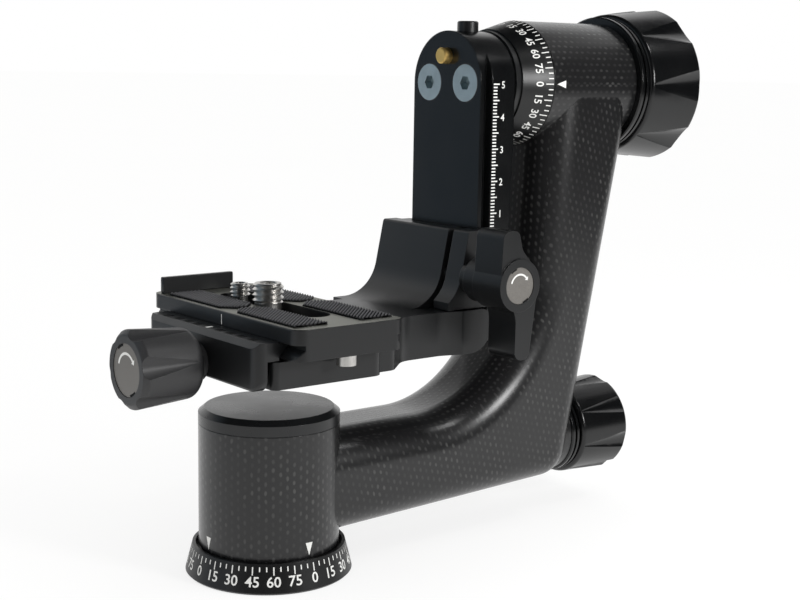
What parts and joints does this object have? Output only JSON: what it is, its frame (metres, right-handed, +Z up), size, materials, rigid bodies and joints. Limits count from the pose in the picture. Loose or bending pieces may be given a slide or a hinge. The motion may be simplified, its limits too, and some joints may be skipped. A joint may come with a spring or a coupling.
{
  "type": "gimbal tripod head",
  "caption": "Side-mount gimbal tripod head with an L-shaped carbon arm, a graduated swing arm, a height-adjustable quick-release platform and fluted lock knobs.",
  "frame": {"origin": "centre of the base's bottom face, on the pan axis", "axes": "+Z up along the pan axis; +X along the tilt axis, from the swing arm towards the lock knobs"},
  "size_m": [0.2066, 0.0825, 0.1704],
  "materials": {
    "black_anodised": "satin black anodised aluminium",
    "carbon_twill": "satin clear coat over carbon twill",
    "zinc_steel": "zinc plated",
    "black_steel": "black oxide",
    "plain_steel": "turned",
    "plain_aluminium": "turned",
    "brass": "turned",
    "bronze": "sintered bronze",
    "acetal": "turned acetal",
    "grey_cap": "satin grey",
    "pad_rubber": "ribbed rubber"
  },
  "bodies": {
    "base": {"base_ring": "black_anodised", "base_spindle": "plain_aluminium", "tripod_bush": "plain_steel", "base_ring_screws": "black_steel", "pan_thrust_washer": "acetal", "pan_retainer_washer": "black_steel", "pan_retainer_screw": "black_steel"},
    "arm": {"carbon_arm": "carbon_twill", "pan_sleeve": "plain_aluminium", "hub_cap": "black_anodised", "pan_bush_lower": "bronze", "pan_bush_upper": "bronze", "pan_knob_collar": "black_anodised", "pan_rod_bush": "bronze", "tilt_sleeve": "plain_aluminium", "tilt_bush_front": "bronze", "tilt_bush_rear": "bronze", "tilt_thrust_washer": "acetal", "tilt_knob_collar": "black_anodised"},
    "pan_knob": {"pan_lock_knob": "black_anodised", "pan_knob_insert": "brass", "pan_knob_cap": "grey_cap"},
    "pan_brake": {"pan_brake_rod": "plain_steel", "pan_brake_shoe": "brass"},
    "tilt_knob": {"tilt_lock_knob": "black_anodised", "tilt_knob_insert": "brass", "tilt_knob_cap": "grey_cap"},
    "tilt_brake": {"tilt_pressure_plate": "plain_steel"},
    "swing": {"swing_arm": "black_anodised", "tilt_scale_ring": "black_anodised", "tilt_spacer_disc": "black_anodised", "tilt_spindle": "plain_aluminium", "swing_arm_screws": "zinc_steel", "tilt_friction_disc": "acetal", "tilt_spindle_nut": "plain_steel"},
    "button": {"release_button": "black_anodised"},
    "stop": {"stop_pin": "brass"},
    "platform": {"platform_bracket": "black_anodised"},
    "rail_clamp": {"rail_jaw": "black_anodised"},
    "lever": {"rail_lever": "black_anodised", "rail_lever_cap": "grey_cap", "rail_lever_screw": "black_steel"},
    "plate_clamp": {"qr_jaw": "black_anodised", "qr_guide_pins": "plain_steel"},
    "clamp_knob": {"qr_knob": "black_anodised", "qr_knob_cap": "grey_cap", "qr_clamp_screw": "black_steel"},
    "plate": {"quick_release_plate": "black_anodised", "plate_pads": "pad_rubber", "plate_lip": "black_anodised", "plate_stop_screws": "zinc_steel"},
    "large_screw": {"camera_screw_large": "zinc_steel"},
    "small_screw": {"camera_screw_small": "zinc_steel"}
  },
  "joints": [
    {"name": "pan", "type": "hinge", "parent": "base", "child": "arm", "pos_m": [0, 0, 0.026], "axis": [0, 0, 1], "continuous": true},
    {"name": "pan_lock", "type": "hinge", "parent": "arm", "child": "pan_knob", "pos_m": [0.128, 0, 0.026], "axis": [1, 0, 0], "range_deg": [-72, 180]},
    {"name": "pan_brake_slide", "type": "slide", "parent": "arm", "child": "pan_brake", "axis": [1, 0, 0], "range_m": [-0.00025, 0.000625]},
    {"name": "tilt_lock", "type": "hinge", "parent": "arm", "child": "tilt_knob", "pos_m": [0.148, 0, 0.145], "axis": [1, 0, 0], "range_deg": [-72, 180]},
    {"name": "tilt_brake_slide", "type": "slide", "parent": "arm", "child": "tilt_brake", "axis": [1, 0, 0], "range_m": [-0.00025, 0.000625]},
    {"name": "tilt", "type": "hinge", "parent": "arm", "child": "swing", "pos_m": [0.09, 0, 0.145], "axis": [1, 0, 0], "continuous": true},
    {"name": "release", "type": "slide", "parent": "swing", "child": "button", "axis": [0, 0, -1], "range_m": [0, 0.003], "stiffness_N_per_m": 500, "springref_m": -0.001},
    {"name": "stop_pin_slide", "type": "slide", "parent": "swing", "child": "stop", "axis": [1, 0, 0], "range_m": [0, 0.003]},
    {"name": "height", "type": "slide", "parent": "swing", "child": "platform", "axis": [0, 0, 1], "range_m": [-0.0056, 0.045]},
    {"name": "rail_clamp_slide", "type": "slide", "parent": "platform", "child": "rail_clamp", "axis": [0, -1, 0], "range_m": [0, 0.001]},
    {"name": "rail_lever_turn", "type": "hinge", "parent": "rail_clamp", "child": "lever", "pos_m": [0.0613, -0.03, 0.086], "axis": [0, -1, 0], "range_deg": [0, 360]},
    {"name": "plate_clamp_slide", "type": "slide", "parent": "platform", "child": "plate_clamp", "axis": [-1, 0, 0], "range_m": [0, 0.004]},
    {"name": "clamp_knob_turn", "type": "hinge", "parent": "plate_clamp", "child": "clamp_knob", "pos_m": [-0.037, 0, 0.066], "axis": [-1, 0, 0], "range_deg": [0, 1440]},
    {"name": "plate_slide", "type": "slide", "parent": "platform", "child": "plate", "axis": [0, 1, 0], "range_m": [-0.0025, 0.0018]},
    {"name": "large_screw_turn", "type": "hinge", "parent": "plate", "child": "large_screw", "pos_m": [0.0021, 0.004, 0.078], "axis": [0, 0, 1], "continuous": true},
    {"name": "small_screw_turn", "type": "hinge", "parent": "plate", "child": "small_screw", "pos_m": [0.0021, 0.0195, 0.078], "axis": [0, 0, 1], "continuous": true}
  ],
  "couplings": [
    {"joint": "pan_lock", "follows": "pan_brake_slide", "rad_per_m": 5026.5},
    {"joint": "tilt_lock", "follows": "tilt_brake_slide", "rad_per_m": 5026.5},
    {"joint": "stop_pin_slide", "follows": "release", "ratio": 1},
    {"joint": "rail_lever_turn", "follows": "rail_clamp_slide", "rad_per_m": 6283.2},
    {"joint": "clamp_knob_turn", "follows": "plate_clamp_slide", "rad_per_m": 6283.2}
  ]
}
